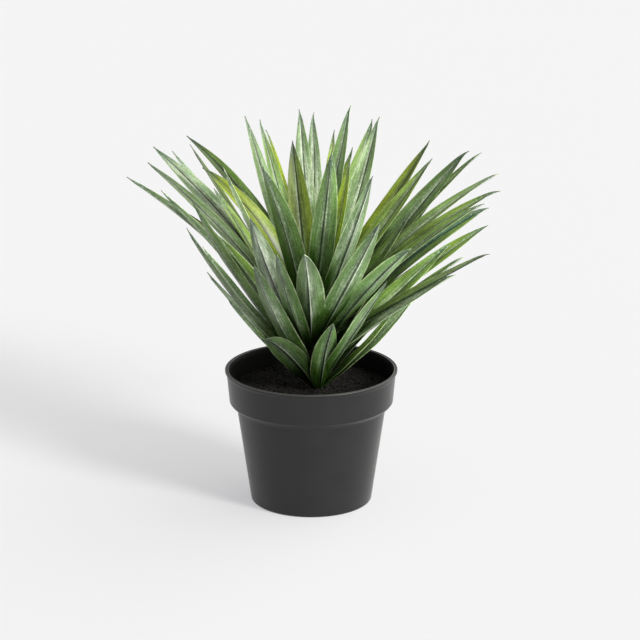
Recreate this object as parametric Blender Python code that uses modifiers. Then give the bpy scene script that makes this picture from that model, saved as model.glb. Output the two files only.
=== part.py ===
"""A potted yucca: a plastic pot, its dark filling and one leafy head.

Metres, Z up.  The pot stands on the plane z = 0 with its axis on the Z axis, and the side that the
photograph shows faces -Y, so +X is to the right there.  Three separate pieces, one object each:

pot    one moulded pot: thin beaded lip, plain band, rounded shoulder, tapered body, flat foot
soil   the filling, level below the lip, with a plain hole that the stem stands in
yucca  a short stem with stiff sword leaves in tiers round it, fused into one body
"""
import math
import random
from collections import namedtuple

import bmesh
import bpy
import numpy as np

# Driving dimensions, in metres.
POT_HEIGHT = 0.111
LIP_RADIUS = 0.070
LIP_HEIGHT = 0.002
LIP_UNDERCUT = 0.0006
BAND_TOP_RADIUS = 0.0688
BAND_FOOT_RADIUS = 0.0666
BAND_FOOT_Z = 0.0850
BODY_TOP_RADIUS = 0.0609
BODY_TOP_Z = 0.0818
FOOT_RADIUS = 0.0494
HEEL_RADIUS = 0.002
WALL = 0.0025
FLOOR = 0.003

SOIL_Z = 0.095
STEM_FOOT_Z = 0.060
STEM_FOOT_RADIUS = 0.0055
STEM_NECK_Z = 0.116
STEM_NECK_RADIUS = 0.0082
STEM_TOP_Z = 0.170
STEM_TOP_RADIUS = 0.0064
NEIGHBOUR_GAP = 0.0003

# The stem's foot stands off the pot's axis, and leans back to it between these heights.
FOOT_OFF_AXIS = (0.006, -0.007)
LEAN_FROM_Z = 0.098
LEAN_TO_Z = STEM_NECK_Z
GATHER = 0.003

BLADE_THICKNESS = 0.0009
TIP_HALF_WIDTH = 0.0005
FOLD = math.radians(16)
BASE_SHARE = 0.20
FULL_FROM = 0.30
TAPER_FROM = 0.40
TAPER_POWER = 2.4
ROLL_AT_ROOT = 0.3
ROOT_RADIUS_LOW = 0.006
ROOT_RADIUS_HIGH = 0.003
ROOT_LOW_Z = 0.098
ROOT_HIGH_Z = 0.158
PATH_STEPS = 20
SHOWN_RINGS = (0, 5, 10, 15, 20)
HIDDEN_RINGS = (0, 7, 14, 20)

TURN_STEPS = 64
STEM_STEPS = 20
HOLE_OVERSHOOT = 0.005
MERGE = 0.0001
SHARP_ANGLE = math.radians(35)
MM = 0.001

# One sword leaf.  Its root's height above the pot's foot, its length and its full width are in
# millimetres, and its angles in degrees: the bearing round the stem (0 is +X, 90 is +Y, away from the
# photograph's viewer), the rise above level at the root, and what the leaf changes by from root to tip,
# its droop, its roll about its own length and its sweep round the stem.
Leaf = namedtuple("Leaf", "height bearing rise length width droop roll sweep", defaults=(0, 0, 0))

# The leaves that the photograph shows, tier by tier up the stem.
SHOWN_LEAVES = (
    # lowest tier, on the filling
    Leaf(98, 200, 46, 104, 11, -10, 20),
    Leaf(100, 202, 48, 132, 12, -6, 16),
    Leaf(98, 211, 49, 64, 15, 0, 10),
    Leaf(96, 240, 57, 95, 20, 32, 75, 4),
    Leaf(96, 291, 58, 80, 21),
    Leaf(101, 317, 50, 126, 19, -6),
    Leaf(98, 348, 36, 111, 17, -18, 40, -2),
    Leaf(98, 336, 38, 95, 12, -18, 34, 5),
    Leaf(99, 18, 46, 136, 16, 4),
    # second tier
    Leaf(104, 234, 53, 140, 19, -6, 14, 8),
    Leaf(106, 205, 45, 172, 12, -16, 16, 3),
    Leaf(109, 197, 49, 142, 13, -8, 24, 5),
    Leaf(119, 193, 56, 190, 17, 8, 30, 2),
    Leaf(112, 336, 42, 150, 17, 7, 28, 2),
    Leaf(112, 13, 41, 146, 21, 0, 32, 3),
    Leaf(110, 11, 38, 150, 17, 4, 0, 4),
    Leaf(116, 19, 41, 181, 20, 14, 22, 3),
    Leaf(114, 207, 50, 184, 16, -12, 22, 9),
    Leaf(118, 204, 61, 140, 19, 9, 30, -1),
    Leaf(126, 251, 46, 152, 16, -3, 0, 10),
    Leaf(124, 237, 54, 165, 22, -5, 26, 7),
    Leaf(128, 338, 35, 179, 18, 2, -20, -6),
    Leaf(124, 328, 55, 148, 24, 15, -26, -20),
    # third tier
    Leaf(126, 191, 58, 212, 17, 22, 42, 3),
    Leaf(134, 180, 60, 195, 18, 22, -24, -10),
    Leaf(128, 178, 58, 156, 18, 18, -20),
    Leaf(132, 299, 48, 161, 22, -8, -20, 4),
    Leaf(132, 270, 54, 147, 24, 15, -10, -5),
    Leaf(130, 36, 37, 209, 22, 27, 25, 8),
    Leaf(128, 6, 53, 181, 18, 24, 14, 2),
    Leaf(134, 18, 49, 197, 18, 27, 17, 3),
    Leaf(134, 38, 43, 214, 22, 10, 20, 6),
    Leaf(140, 39, 40, 215, 17, 9, -7, -2),
    Leaf(140, 139, 43, 197, 13, 6, 8, -2),
    Leaf(136, 143, 52, 186, 12, 2, 20, 3),
    Leaf(142, 144, 49, 209, 21, 22, -18, -5),
    Leaf(142, 304, 58, 177, 19, -3, -6, -8),
    Leaf(142, 241, 74, 177, 22, 21, 6, 3),
    Leaf(134, 210, 60, 158, 19, 0, -45, -15),
    Leaf(140, 220, 56, 178, 13, -10, -8, 2),
    # fourth tier
    Leaf(146, 27, 42, 204, 18, 20, 0, 3),
    Leaf(146, 22, 54, 166, 20, 5, 15, 3),
    Leaf(146, 166, 78, 158, 20, 46, -36, -7),
    Leaf(158, 125, 50, 204, 18, 31, 0, 6),
    Leaf(146, 125, 60, 181, 16),
    Leaf(150, 286, 68, 181, 21, 7, -16, -9),
    Leaf(152, 32, 71, 134, 15, -8, 12, 6),
    Leaf(154, 121, 79, 143, 22, 2, -14, -8),
    Leaf(152, 49, 39, 196, 18, 4, -7, 5),
    Leaf(150, 54, 51, 179, 20, -14, 0, 4),
    # top tier, leaning away behind
    Leaf(158, 113, 54, 176, 13, 9, 12, -3),
    Leaf(158, 104, 48, 181, 9, 13, 14, 3),
    Leaf(158, 94, 50, 190, 18, 8),
    Leaf(158, 87, 48, 192, 16, 9, 0, 5),
    Leaf(158, 79, 45, 179, 12, 7, 0, 6),
    Leaf(154, 64, 71, 174, 19, 3, -4, -7),
    Leaf(156, 76, 48, 163, 13, 11, -10, -5),
    Leaf(154, 65, 49, 184, 19, 2, 0, 2),
    Leaf(154, 62, 40, 174, 16, -2, -10, 14),
)

# The leaves behind, which the photograph hides: whorls of alike leaves across the far side.
Whorl = namedtuple("Whorl", "height count length rise width droop")
HIDDEN_WHORLS = (
    Whorl(99, 7, 92, 52, 15, 4),
    Whorl(107, 7, 116, 54, 17, 6),
    Whorl(117, 7, 132, 54, 18, 8),
    Whorl(126, 6, 132, 52, 18, 8),
)
HIDDEN_FROM = 26
HIDDEN_SPAN = 128
HIDDEN_SEED = 7


def hidden_leaves():
    """Whorls of leaves evenly spaced over the far side, each a little off the rule, with a fixed seed."""
    rng = random.Random(HIDDEN_SEED)
    leaves = []
    for whorl in HIDDEN_WHORLS:
        for index in range(whorl.count):
            bearing = HIDDEN_FROM + HIDDEN_SPAN * (index + 0.5) / whorl.count + rng.uniform(-5, 5)
            height = whorl.height + rng.uniform(-1, 1)
            rise = whorl.rise + rng.uniform(-3, 3)
            length = whorl.length * rng.uniform(0.92, 1.06)
            roll = rng.uniform(-12, 12)
            leaves.append(Leaf(height, bearing, rise, length, whorl.width, whorl.droop, roll))
    return leaves


def clear_scene():
    for obj in list(bpy.data.objects):
        bpy.data.objects.remove(obj, do_unlink=True)


def new_collection(name):
    collection = bpy.data.collections.new(name)
    bpy.context.scene.collection.children.link(collection)
    return collection


def principled(name, colour, roughness, metallic=0.0):
    """A plain material with the piece's own colour, roughness and metallic value."""
    material = bpy.data.materials.new(name)
    material.use_nodes = True
    shader = material.node_tree.nodes["Principled BSDF"]
    shader.inputs["Base Color"].default_value = (*colour, 1.0)
    shader.inputs["Roughness"].default_value = roughness
    shader.inputs["Metallic"].default_value = metallic
    return material


def arc(centre, radii, start, end, count):
    """Points on an ellipse's arc in the (radius, height) plane, both ends included."""
    points = []
    for index in range(count):
        angle = math.radians(start + (end - start) * index / (count - 1))
        points.append((centre[0] + radii[0] * math.cos(angle), centre[1] + radii[1] * math.sin(angle)))
    return points


def turned(name, profile, collection, material, sharp=SHARP_ANGLE):
    """Turn a (radius, height) profile about Z with a Screw modifier."""
    mesh = bpy.data.meshes.new(name)
    edges = [(index, index + 1) for index in range(len(profile) - 1)]
    mesh.from_pydata([(radius, 0.0, height) for radius, height in profile], edges, [])
    mesh.materials.append(material)
    obj = bpy.data.objects.new(name, mesh)
    collection.objects.link(obj)
    screw = obj.modifiers.new("Turn", "SCREW")
    screw.steps = TURN_STEPS
    screw.render_steps = TURN_STEPS
    screw.use_merge_vertices = True
    screw.merge_threshold = MERGE
    apply_modifiers(obj)
    obj.data.shade_smooth()
    obj.data.set_sharp_from_angle(angle=sharp)
    return obj


def apply_modifiers(obj):
    """Give the object its evaluated mesh and drop its modifiers."""
    depsgraph = bpy.context.evaluated_depsgraph_get()
    mesh = bpy.data.meshes.new_from_object(obj.evaluated_get(depsgraph))
    old = obj.data
    obj.modifiers.clear()
    obj.data = mesh
    bpy.data.meshes.remove(old)


def pot_outer():
    """The pot's outside from the top of the lip down to the foot."""
    lip_round = WALL / 2
    heel_centre = (FOOT_RADIUS - HEEL_RADIUS, HEEL_RADIUS)
    lip_centre = (LIP_RADIUS - lip_round, POT_HEIGHT - lip_round)
    lip_foot = POT_HEIGHT - LIP_HEIGHT
    shoulder = (BAND_FOOT_RADIUS - BODY_TOP_RADIUS, BAND_FOOT_Z - BODY_TOP_Z)
    points = arc(lip_centre, (lip_round, lip_round), 90, 0, 4)
    points += [(LIP_RADIUS, lip_foot + LIP_UNDERCUT), (LIP_RADIUS - LIP_UNDERCUT, lip_foot)]
    points += [(BAND_TOP_RADIUS, lip_foot)]
    points += arc((BODY_TOP_RADIUS, BAND_FOOT_Z), shoulder, 0, -90, 7)
    points += arc(heel_centre, (HEEL_RADIUS, HEEL_RADIUS), 0, -90, 4)
    return points


def pot_inner(gap=0.0):
    """The pot's inside from the lip down to the floor, drawn in by a gap for what fills it."""
    thick = WALL + gap
    lip_foot = POT_HEIGHT - LIP_HEIGHT
    shoulder = (BAND_FOOT_RADIUS - BODY_TOP_RADIUS, BAND_FOOT_Z - BODY_TOP_Z)
    points = [(LIP_RADIUS - thick, POT_HEIGHT - WALL / 2), (BAND_TOP_RADIUS - thick, lip_foot)]
    points += arc((BODY_TOP_RADIUS - thick, BAND_FOOT_Z + WALL), shoulder, 0, -90, 4)
    points += [(FOOT_RADIUS - thick, FLOOR + gap)]
    return points


def make_pot(collection):
    material = principled("charcoal_plastic", (0.042, 0.042, 0.044), 0.5)
    inside = list(reversed(pot_inner()))
    profile = [(0.0, FLOOR)] + inside + pot_outer() + [(0.0, 0.0)]
    return turned("pot", profile, collection, material)


def radius_at(points, height):
    """The radius where a profile that runs downwards passes a height."""
    for upper, lower in zip(points[:-1], points[1:]):
        if upper[1] >= height >= lower[1]:
            share = (upper[1] - height) / (upper[1] - lower[1])
            return upper[0] + share * (lower[0] - upper[0])
    raise ValueError("the profile doesn't pass this height")


def lean_share(height):
    """1 at the filling, 0 from the stem's neck upwards, and even between."""
    return np.clip((LEAN_TO_Z - height) / (LEAN_TO_Z - LEAN_FROM_Z), 0, 1)


def make_soil(collection, cutters):
    """The filling, turned about the pot's axis, with a plain hole cut where the stem stands."""
    material = principled("potting_granules", (0.012, 0.010, 0.009), 0.95)
    wall = pot_inner(NEIGHBOUR_GAP)
    below = [point for point in wall if point[1] < SOIL_Z]
    profile = [(0.0, SOIL_Z), (radius_at(wall, SOIL_Z), SOIL_Z)] + below + [(0.0, FLOOR + NEIGHBOUR_GAP)]
    soil = turned("soil", profile, collection, material)

    floor = STEM_FOOT_Z - NEIGHBOUR_GAP
    depth = SOIL_Z + HOLE_OVERSHOOT - floor
    bpy.ops.mesh.primitive_cylinder_add(
        vertices=STEM_STEPS,
        radius=STEM_FOOT_RADIUS + NEIGHBOUR_GAP,
        depth=depth,
        location=(*FOOT_OFF_AXIS, floor + depth / 2),
    )
    cutter = bpy.context.object
    cutter.name = "stem_hole"
    cutter.hide_render = True
    cutter.display_type = "WIRE"
    for home in list(cutter.users_collection):
        home.objects.unlink(cutter)
    cutters.objects.link(cutter)
    hole = soil.modifiers.new("Stem hole", "BOOLEAN")
    hole.operation = "DIFFERENCE"
    hole.object = cutter
    return soil


def make_stem(collection, material):
    """A stem with a round top, turned about its own axis, whose foot then leans off the pot's axis."""
    points = arc((0.0, STEM_TOP_Z - STEM_TOP_RADIUS), (STEM_TOP_RADIUS, STEM_TOP_RADIUS), 90, 0, 5)
    points[0] = (0.0, STEM_TOP_Z)
    profile = points + [(STEM_NECK_RADIUS, STEM_NECK_Z), (STEM_FOOT_RADIUS, LEAN_FROM_Z)]
    profile += [(STEM_FOOT_RADIUS, STEM_FOOT_Z), (0.0, STEM_FOOT_Z)]
    mesh = bpy.data.meshes.new("yucca")
    edges = [(index, index + 1) for index in range(len(profile) - 1)]
    mesh.from_pydata([(radius, 0.0, height) for radius, height in profile], edges, [])
    mesh.materials.append(material)
    obj = bpy.data.objects.new("yucca", mesh)
    collection.objects.link(obj)
    screw = obj.modifiers.new("Turn", "SCREW")
    screw.steps = STEM_STEPS
    screw.render_steps = STEM_STEPS
    screw.use_merge_vertices = True
    screw.merge_threshold = MERGE
    apply_modifiers(obj)
    for vertex in obj.data.vertices:
        share = lean_share(vertex.co.z)
        vertex.co.x += share * FOOT_OFF_AXIS[0]
        vertex.co.y += share * FOOT_OFF_AXIS[1]
    return obj


def half_width(share, width):
    """Half the blade's width at a share of its length: a narrow stalk, an even middle, then a point."""
    grow = BASE_SHARE + (1 - BASE_SHARE) * np.sin(math.pi / 2 * np.clip(share / FULL_FROM, 0, 1))
    taper = 1 - np.clip((share - TAPER_FROM) / (1 - TAPER_FROM), 0, 1) ** TAPER_POWER
    return np.maximum(width / 2 * grow * taper, TIP_HALF_WIDTH)


def directions(bearing, rise):
    """The unit vectors at these angles."""
    return np.stack([np.cos(rise) * np.cos(bearing), np.cos(rise) * np.sin(bearing), np.sin(rise)], -1)


def blade_rings(leaf, ring_steps, creased):
    """The blade's cross-sections from root to tip: a shallow V of even thickness, or a plain strip.

    The middle line starts inside the stem and bends evenly.  The lowest roots follow the stem's lean and
    gather close to its foot, which fades out by the square of what is left of their length.  A creased
    section's top has its two edges and the crease between them, and its underside is the same line moved
    down by the thickness.
    """
    share = np.linspace(0, 1, PATH_STEPS + 1)
    middle = (share[1:] + share[:-1]) / 2
    bearing = np.radians(leaf.bearing)
    rise = np.radians(leaf.rise)
    droop = np.radians(leaf.droop)
    sweep = np.radians(leaf.sweep)
    step = leaf.length * MM / PATH_STEPS * directions(bearing + sweep * middle, rise - droop * middle)
    up_stem = np.clip((leaf.height * MM - ROOT_LOW_Z) / (ROOT_HIGH_Z - ROOT_LOW_Z), 0, 1)
    root_radius = ROOT_RADIUS_LOW + (ROOT_RADIUS_HIGH - ROOT_RADIUS_LOW) * up_stem
    root_way = np.array([np.cos(bearing), np.sin(bearing)])
    root = np.array([*(root_radius * root_way), leaf.height * MM])
    path = np.vstack([root, root + np.cumsum(step, axis=0)])
    pull = lean_share(leaf.height * MM) * (np.array(FOOT_OFF_AXIS) - GATHER * root_way)
    path[:, :2] += pull * ((1 - share) ** 2)[:, None]

    rings = np.array(ring_steps)
    share = share[rings]
    path = path[rings]
    along = directions(bearing + sweep * share, rise - droop * share)
    turn = bearing + sweep * share
    side = np.stack([-np.sin(turn), np.cos(turn), np.zeros_like(turn)], -1)
    normal = np.cross(along, side)
    roll = (np.radians(leaf.roll) * (ROLL_AT_ROOT + (1 - ROLL_AT_ROOT) * share))[:, None]
    across = side * np.cos(roll) + normal * np.sin(roll)
    upward = -side * np.sin(roll) + normal * np.cos(roll)
    half = half_width(share, leaf.width * MM)[:, None]
    reach = across * half * math.cos(FOLD)
    lift = upward * half * math.sin(FOLD)
    top = [path + reach + lift, path - reach + lift]
    if creased:
        top.insert(1, path)
    under = [points - upward * BLADE_THICKNESS for points in top]
    return np.stack(top + under[::-1], axis=1)


def blade_mesh(name, leaf, ring_steps, creased):
    """Skin the sections with triangles, cut alike on both faces, and close both ends."""
    rings = blade_rings(leaf, ring_steps, creased)
    count, sides = rings.shape[:2]
    first_cut = (0, 4) if creased else (0,)
    end_quads = ((0, 1, 4, 5), (1, 2, 3, 4)) if creased else ((0, 1, 2, 3),)
    mesh = bpy.data.meshes.new(name)
    shape = bmesh.new()
    verts = [[shape.verts.new(point) for point in ring] for ring in rings]
    for index in range(count - 1):
        near, far = verts[index], verts[index + 1]
        for side in range(sides):
            nxt = (side + 1) % sides
            if side in first_cut:
                shape.faces.new((near[side], near[nxt], far[nxt]))
                shape.faces.new((near[side], far[nxt], far[side]))
            else:
                shape.faces.new((near[side], near[nxt], far[side]))
                shape.faces.new((near[nxt], far[nxt], far[side]))
    for ring, flip in ((verts[0], False), (verts[-1], True)):
        for quad in end_quads:
            corners = [ring[index] for index in quad]
            for triangle in ((0, 1, 2), (0, 2, 3)):
                face = [corners[index] for index in triangle]
                shape.faces.new(face if flip else face[::-1])
    bmesh.ops.recalc_face_normals(shape, faces=shape.faces[:])
    shape.to_mesh(mesh)
    shape.free()
    return mesh


def keep_main_body(mesh):
    """Drop every closed piece but the largest: sealed hollows and loose scraps of the union."""
    shape = bmesh.new()
    shape.from_mesh(mesh)
    bmesh.ops.triangulate(shape, faces=shape.faces[:])
    left = set(shape.faces)
    bodies = []
    while left:
        body = [left.pop()]
        for face in body:
            for edge in face.edges:
                for other in edge.link_faces:
                    if other in left:
                        left.remove(other)
                        body.append(other)
        bodies.append(body)
    bodies.sort(key=len)
    scraps = [face for body in bodies[:-1] for face in body]
    bmesh.ops.delete(shape, geom=scraps, context="FACES")
    shape.to_mesh(mesh)
    shape.free()
    return len(bodies)


def make_yucca(collection):
    material = principled("leaf_green", (0.045, 0.105, 0.035), 0.42)
    obj = make_stem(collection, material)
    blades = new_collection("leaf_blades")
    leaves = [(leaf, SHOWN_RINGS, True) for leaf in SHOWN_LEAVES]
    leaves += [(leaf, HIDDEN_RINGS, False) for leaf in hidden_leaves()]
    for index, (leaf, ring_steps, creased) in enumerate(leaves):
        mesh = blade_mesh(f"blade_{index:02d}", leaf, ring_steps, creased)
        mesh.materials.append(material)
        blades.objects.link(bpy.data.objects.new(mesh.name, mesh))
    union = obj.modifiers.new("Fuse", "BOOLEAN")
    union.operation = "UNION"
    union.operand_type = "COLLECTION"
    union.collection = blades
    # The exact solver leaves two bodies here that meet only along an edge.
    union.solver = "MANIFOLD"
    apply_modifiers(obj)
    for blade in list(blades.objects):
        bpy.data.objects.remove(blade, do_unlink=True)
    bpy.data.collections.remove(blades)
    bodies = keep_main_body(obj.data)
    print(f"yucca: {bodies} bodies after the union, {len(obj.data.polygons)} triangles kept")
    obj.data.shade_smooth()
    obj.data.set_sharp_from_angle(angle=SHARP_ANGLE)
    return obj


def main():
    clear_scene()
    collection = new_collection("potted_yucca")
    make_pot(collection)
    make_soil(collection, new_collection("cutters"))
    make_yucca(collection)


main()
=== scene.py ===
# %% [markdown]
# # A potted yucca, dressed for its picture
# The measured model holds three solids: a pot, its dark filling and one leafy head.
# This lesson keeps their sizes and places and gives each a finer surface and a finish of its own.
# Every new surface is worked out with numpy as a function of two parameters, so that its shape can be
# read from one formula and changed by one named value.

# %% Load the measured model
import math
import random
from collections import namedtuple

import bmesh
import bpy
import numpy as np
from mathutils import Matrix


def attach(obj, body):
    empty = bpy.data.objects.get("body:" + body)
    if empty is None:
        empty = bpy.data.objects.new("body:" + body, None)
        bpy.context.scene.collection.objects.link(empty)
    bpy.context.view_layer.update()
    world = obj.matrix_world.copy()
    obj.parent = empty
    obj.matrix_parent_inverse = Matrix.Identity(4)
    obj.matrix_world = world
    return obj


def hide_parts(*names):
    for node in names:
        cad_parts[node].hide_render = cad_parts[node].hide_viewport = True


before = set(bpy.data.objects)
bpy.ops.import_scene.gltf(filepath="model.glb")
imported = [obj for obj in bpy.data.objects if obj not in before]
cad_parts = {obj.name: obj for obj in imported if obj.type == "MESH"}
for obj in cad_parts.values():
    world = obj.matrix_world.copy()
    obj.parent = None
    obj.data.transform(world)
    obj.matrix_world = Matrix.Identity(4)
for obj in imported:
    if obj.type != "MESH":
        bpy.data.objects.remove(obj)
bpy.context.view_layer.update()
MM = 0.001
CM3 = 1e6

# %% [markdown]
# ## The camera
# The picture was taken from far away with a long lens, a little above the leaves and looking down.
# A long lens keeps the pot's sides nearly straight, where a near, short one would make them lean.
# So the camera stands two and a half metres off, with the focal length that fills the square frame.

# %% Camera
CAMERA_LENS = 180
CAMERA_SENSOR = 36
CAMERA_PLACE = (0.0, -2.4675, 0.9244)
CAMERA_DOWN = 17.38
CAMERA_ASIDE = 0.165

scene = bpy.context.scene
scene.view_settings.view_transform = "Standard"
camera_data = bpy.data.cameras.new("camera")
camera_data.lens = CAMERA_LENS
camera_data.sensor_width = CAMERA_SENSOR
camera = bpy.data.objects.new("camera", camera_data)
camera.location = CAMERA_PLACE
camera.rotation_euler = (math.radians(90 - CAMERA_DOWN), 0.0, math.radians(-CAMERA_ASIDE))
scene.collection.objects.link(camera)
scene.camera = camera
print("camera looks down by", CAMERA_DOWN, "degrees from", CAMERA_PLACE)

# %% [markdown]
# ## Meshes from arrays
# A surface with two parameters is a grid of points. Each row joins the next by four-sided faces, and a
# row may close on itself, as round a pot. One helper turns such a grid into faces, another puts the arrays
# into a mesh, and a third does both for closed rings, so the shapes below are left with nothing but their
# own formulas.

# %% Helpers for meshes
MERGE_WITHIN = 0.000002


def grid_faces(rows, columns, wrap):
    """Corner numbers of the faces between neighbouring rows and columns of a grid of points.

    Point (row, column) has the number row * columns + column. Where wrap is true, the last column joins
    the first one.
    """
    row = np.arange(rows - 1)[:, None]
    column = np.arange(columns if wrap else columns - 1)[None, :]
    after = (column + 1) % columns
    corners = [row * columns + column, row * columns + after]
    corners += [(row + 1) * columns + after, (row + 1) * columns + column]
    return np.stack(np.broadcast_arrays(*corners), -1).reshape(-1, 4)


def mesh_object(name, points, faces, materials, smooth=True):
    """An object at the origin whose mesh holds these points and these faces, all of one corner count."""
    mesh = bpy.data.meshes.new(name)
    count, corners = faces.shape
    mesh.vertices.add(len(points))
    mesh.vertices.foreach_set("co", np.asarray(points, np.float32).ravel())
    mesh.loops.add(count * corners)
    mesh.loops.foreach_set("vertex_index", faces.astype(np.int32).ravel())
    mesh.polygons.add(count)
    mesh.polygons.foreach_set("loop_start", np.arange(0, count * corners, corners, dtype=np.int32))
    mesh.polygons.foreach_set("use_smooth", np.full(count, smooth))
    mesh.update(calc_edges=True)
    mesh.validate()
    for material in materials:
        mesh.materials.append(material)
    obj = bpy.data.objects.new(name, mesh)
    scene.collection.objects.link(obj)
    return obj


def close_poles(obj):
    """Merge the points that meet on the axis, which turns the four-sided faces there into triangles."""
    shape = bmesh.new()
    shape.from_mesh(obj.data)
    bmesh.ops.remove_doubles(shape, verts=shape.verts[:], dist=MERGE_WITHIN)
    shape.to_mesh(obj.data)
    shape.free()
    obj.data.validate()


def volume_of(points, faces):
    """The volume inside closed faces: one sixth of the sum of a . (b x c) over their triangles."""
    first = points[faces[:, 0]]
    total = 0.0
    for corner in range(1, faces.shape[1] - 1):
        second = points[faces[:, corner]]
        third = points[faces[:, corner + 1]]
        total += np.einsum("ij,ij->i", first, np.cross(second, third)).sum()
    return total / 6


def outward(points, faces):
    """The same faces, turned round if they look inwards, which makes the volume negative."""
    return faces if volume_of(points, faces) > 0 else faces[:, ::-1]


def ringed_object(name, grid, materials):
    """An object from a grid of points whose rows are closed rings, with its faces looking outwards."""
    points = grid.reshape(-1, 3)
    faces = outward(points, grid_faces(grid.shape[0], grid.shape[1], True))
    volume = round(volume_of(points, faces) * CM3, 1)
    print(name + ":", 2 * len(faces), "triangles,", volume, "cm3")
    return mesh_object(name, points, faces, materials)


# %% [markdown]
# ## Materials from nodes
# A material is a small chain of nodes. These helpers add a node, do a sum, mix two colours, or fade
# smoothly from 0 to 1 between two values, and each gives back the socket that carries its result. A
# socket knows the tree it lies in, so most of them need only the values that they work on.

# %% Helpers for nodes
def put(value, target):
    """Link a socket, or set a plain number, vector or colour."""
    if isinstance(value, bpy.types.NodeSocket):
        target.id_data.links.new(value, target)
    else:
        target.default_value = value


def set_inputs(node, **inputs):
    """Set or link some inputs of a node, given by name with underscores for spaces."""
    for name, value in inputs.items():
        put(value, node.inputs[name.replace("_", " ")])
    return node


def add(tree, kind, **inputs):
    """A new node with some of its inputs set."""
    return set_inputs(tree.nodes.new(kind), **inputs)


def tree_of(*values):
    """The tree that holds the first socket among these values."""
    return next(value.id_data for value in values if isinstance(value, bpy.types.NodeSocket))


def calc(operation, *values):
    """One step of arithmetic on plain values."""
    node = tree_of(*values).nodes.new("ShaderNodeMath")
    node.operation = operation
    for place, value in enumerate(values):
        put(value, node.inputs[place])
    return node.outputs[0]


def times(*values):
    """The product of several values."""
    total = values[0]
    for value in values[1:]:
        total = calc("MULTIPLY", total, value)
    return total


def shifted(value, other, weight):
    """A value moved by another one's distance from one half, times a weight."""
    return calc("ADD", value, calc("MULTIPLY", calc("SUBTRACT", other, 0.5), weight))


def fade(value, start, end, low=0.0, high=1.0):
    """From low at start to high at end, eased at both ends."""
    node = tree_of(value).nodes.new("ShaderNodeMapRange")
    node.interpolation_type = "SMOOTHSTEP"
    for place, number in enumerate((value, start, end, low, high)):
        put(number, node.inputs[place])
    return node.outputs[0]


def blend(share, first, second, kind="MIX"):
    """Two colours mixed by a share, from the first at 0 to the second at 1."""
    node = tree_of(share, first, second).nodes.new("ShaderNodeMix")
    node.data_type = "RGBA"
    node.blend_type = kind
    put(share, node.inputs[0])
    put(first, node.inputs[6])
    put(second, node.inputs[7])
    return node.outputs[2]


def noise(vector, scale, detail=2.0, roughness=0.5):
    """A cloudy pattern from 0 to 1, mostly near one half, with so many spots to each unit of the vector."""
    inputs = {"Vector": vector, "Scale": scale, "Detail": detail, "Roughness": roughness}
    return add(tree_of(vector), "ShaderNodeTexNoise", **inputs).outputs["Fac"]


def stretched(vector, scale):
    """A vector times another, part by part, which stretches a pattern."""
    node = tree_of(vector).nodes.new("ShaderNodeVectorMath")
    node.operation = "MULTIPLY"
    put(vector, node.inputs[0])
    node.inputs[1].default_value = scale
    return node.outputs[0]


def part(vector, axis):
    """One part of a vector, along the axis X, Y or Z."""
    return add(tree_of(vector), "ShaderNodeSeparateXYZ", Vector=vector).outputs[axis]


def new_group(name, inputs, outputs):
    """An empty node group with named sockets, its tree, and its input and output nodes."""
    tree = bpy.data.node_groups.new(name, "ShaderNodeTree")
    kinds = {"value": "NodeSocketFloat", "colour": "NodeSocketColor", "vector": "NodeSocketVector"}
    for socket, kind in inputs.items():
        tree.interface.new_socket(name=socket, in_out="INPUT", socket_type=kinds[kind])
    for socket, kind in outputs.items():
        tree.interface.new_socket(name=socket, in_out="OUTPUT", socket_type=kinds[kind])
    return tree, tree.nodes.new("NodeGroupInput"), tree.nodes.new("NodeGroupOutput")


def use_group(tree, group, **inputs):
    """A node group placed in a tree, with some of its inputs set."""
    node = tree.nodes.new("ShaderNodeGroup")
    node.node_tree = group
    return set_inputs(node, **inputs)


def new_material(name):
    """An empty finish and its Principled shader."""
    material = bpy.data.materials.new(name)
    material.use_nodes = True
    return material, material.node_tree.nodes["Principled BSDF"]


def object_place(shader):
    """Where a point lies on its object, in metres, for the finish of this shader."""
    return add(shader.id_data, "ShaderNodeTexCoord").outputs["Object"]


def srgb(red, green, blue):
    """A colour given by the 0 to 255 values of a screen, as the linear values that light adds up in."""
    shares = np.array((red, green, blue)) / 255
    linear = np.where(shares <= 0.04045, shares / 12.92, ((shares + 0.055) / 1.055) ** 2.4)
    return (*(float(value) for value in linear), 1.0)


def bump(height, strength, distance):
    """The normal of a surface dented by a height, which goes from 0 to 1 over the distance."""
    node = add(tree_of(height), "ShaderNodeBump", Height=height, Strength=strength, Distance=distance)
    return node.outputs["Normal"]


# %% [markdown]
# ## The studio
# The pot stands on a white sweep so even that no edge or horizon shows. One lamp stands low on the right
# and a little in front. It is small enough for the pale shadow, which falls to the left and away, to have
# an edge, and large enough for that edge to be soft. The rest of the room is dim on the left and bright
# and slightly warm on the right, which gives the pot its lighter right side. A wide floor with a faint
# glow of its own does for the sweep, a sun for the lamp, and a world that fades from left to right for
# the room.

# %% Floor
FLOOR_HALF = 6.0
FLOOR_POINTS = 9
FLOOR_WHITE = (0.450, 0.450, 0.450, 1.0)
FLOOR_WARM = (0.453, 0.451, 0.450, 1.0)
FLOOR_GLOW = (0.995, 0.998, 1.025, 1.0)
FLOOR_GLOW_STRENGTH = 0.425
paper, paper_shader = new_material("studio_paper")
paper_grain = noise(object_place(paper_shader), 3.0)
paper_colour = blend(fade(paper_grain, 0.3, 0.7), FLOOR_WHITE, FLOOR_WARM)
set_inputs(paper_shader, Base_Color=paper_colour, Roughness=0.9, Specular_IOR_Level=0.1)
set_inputs(paper_shader, Emission_Color=FLOOR_GLOW, Emission_Strength=FLOOR_GLOW_STRENGTH)

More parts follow.
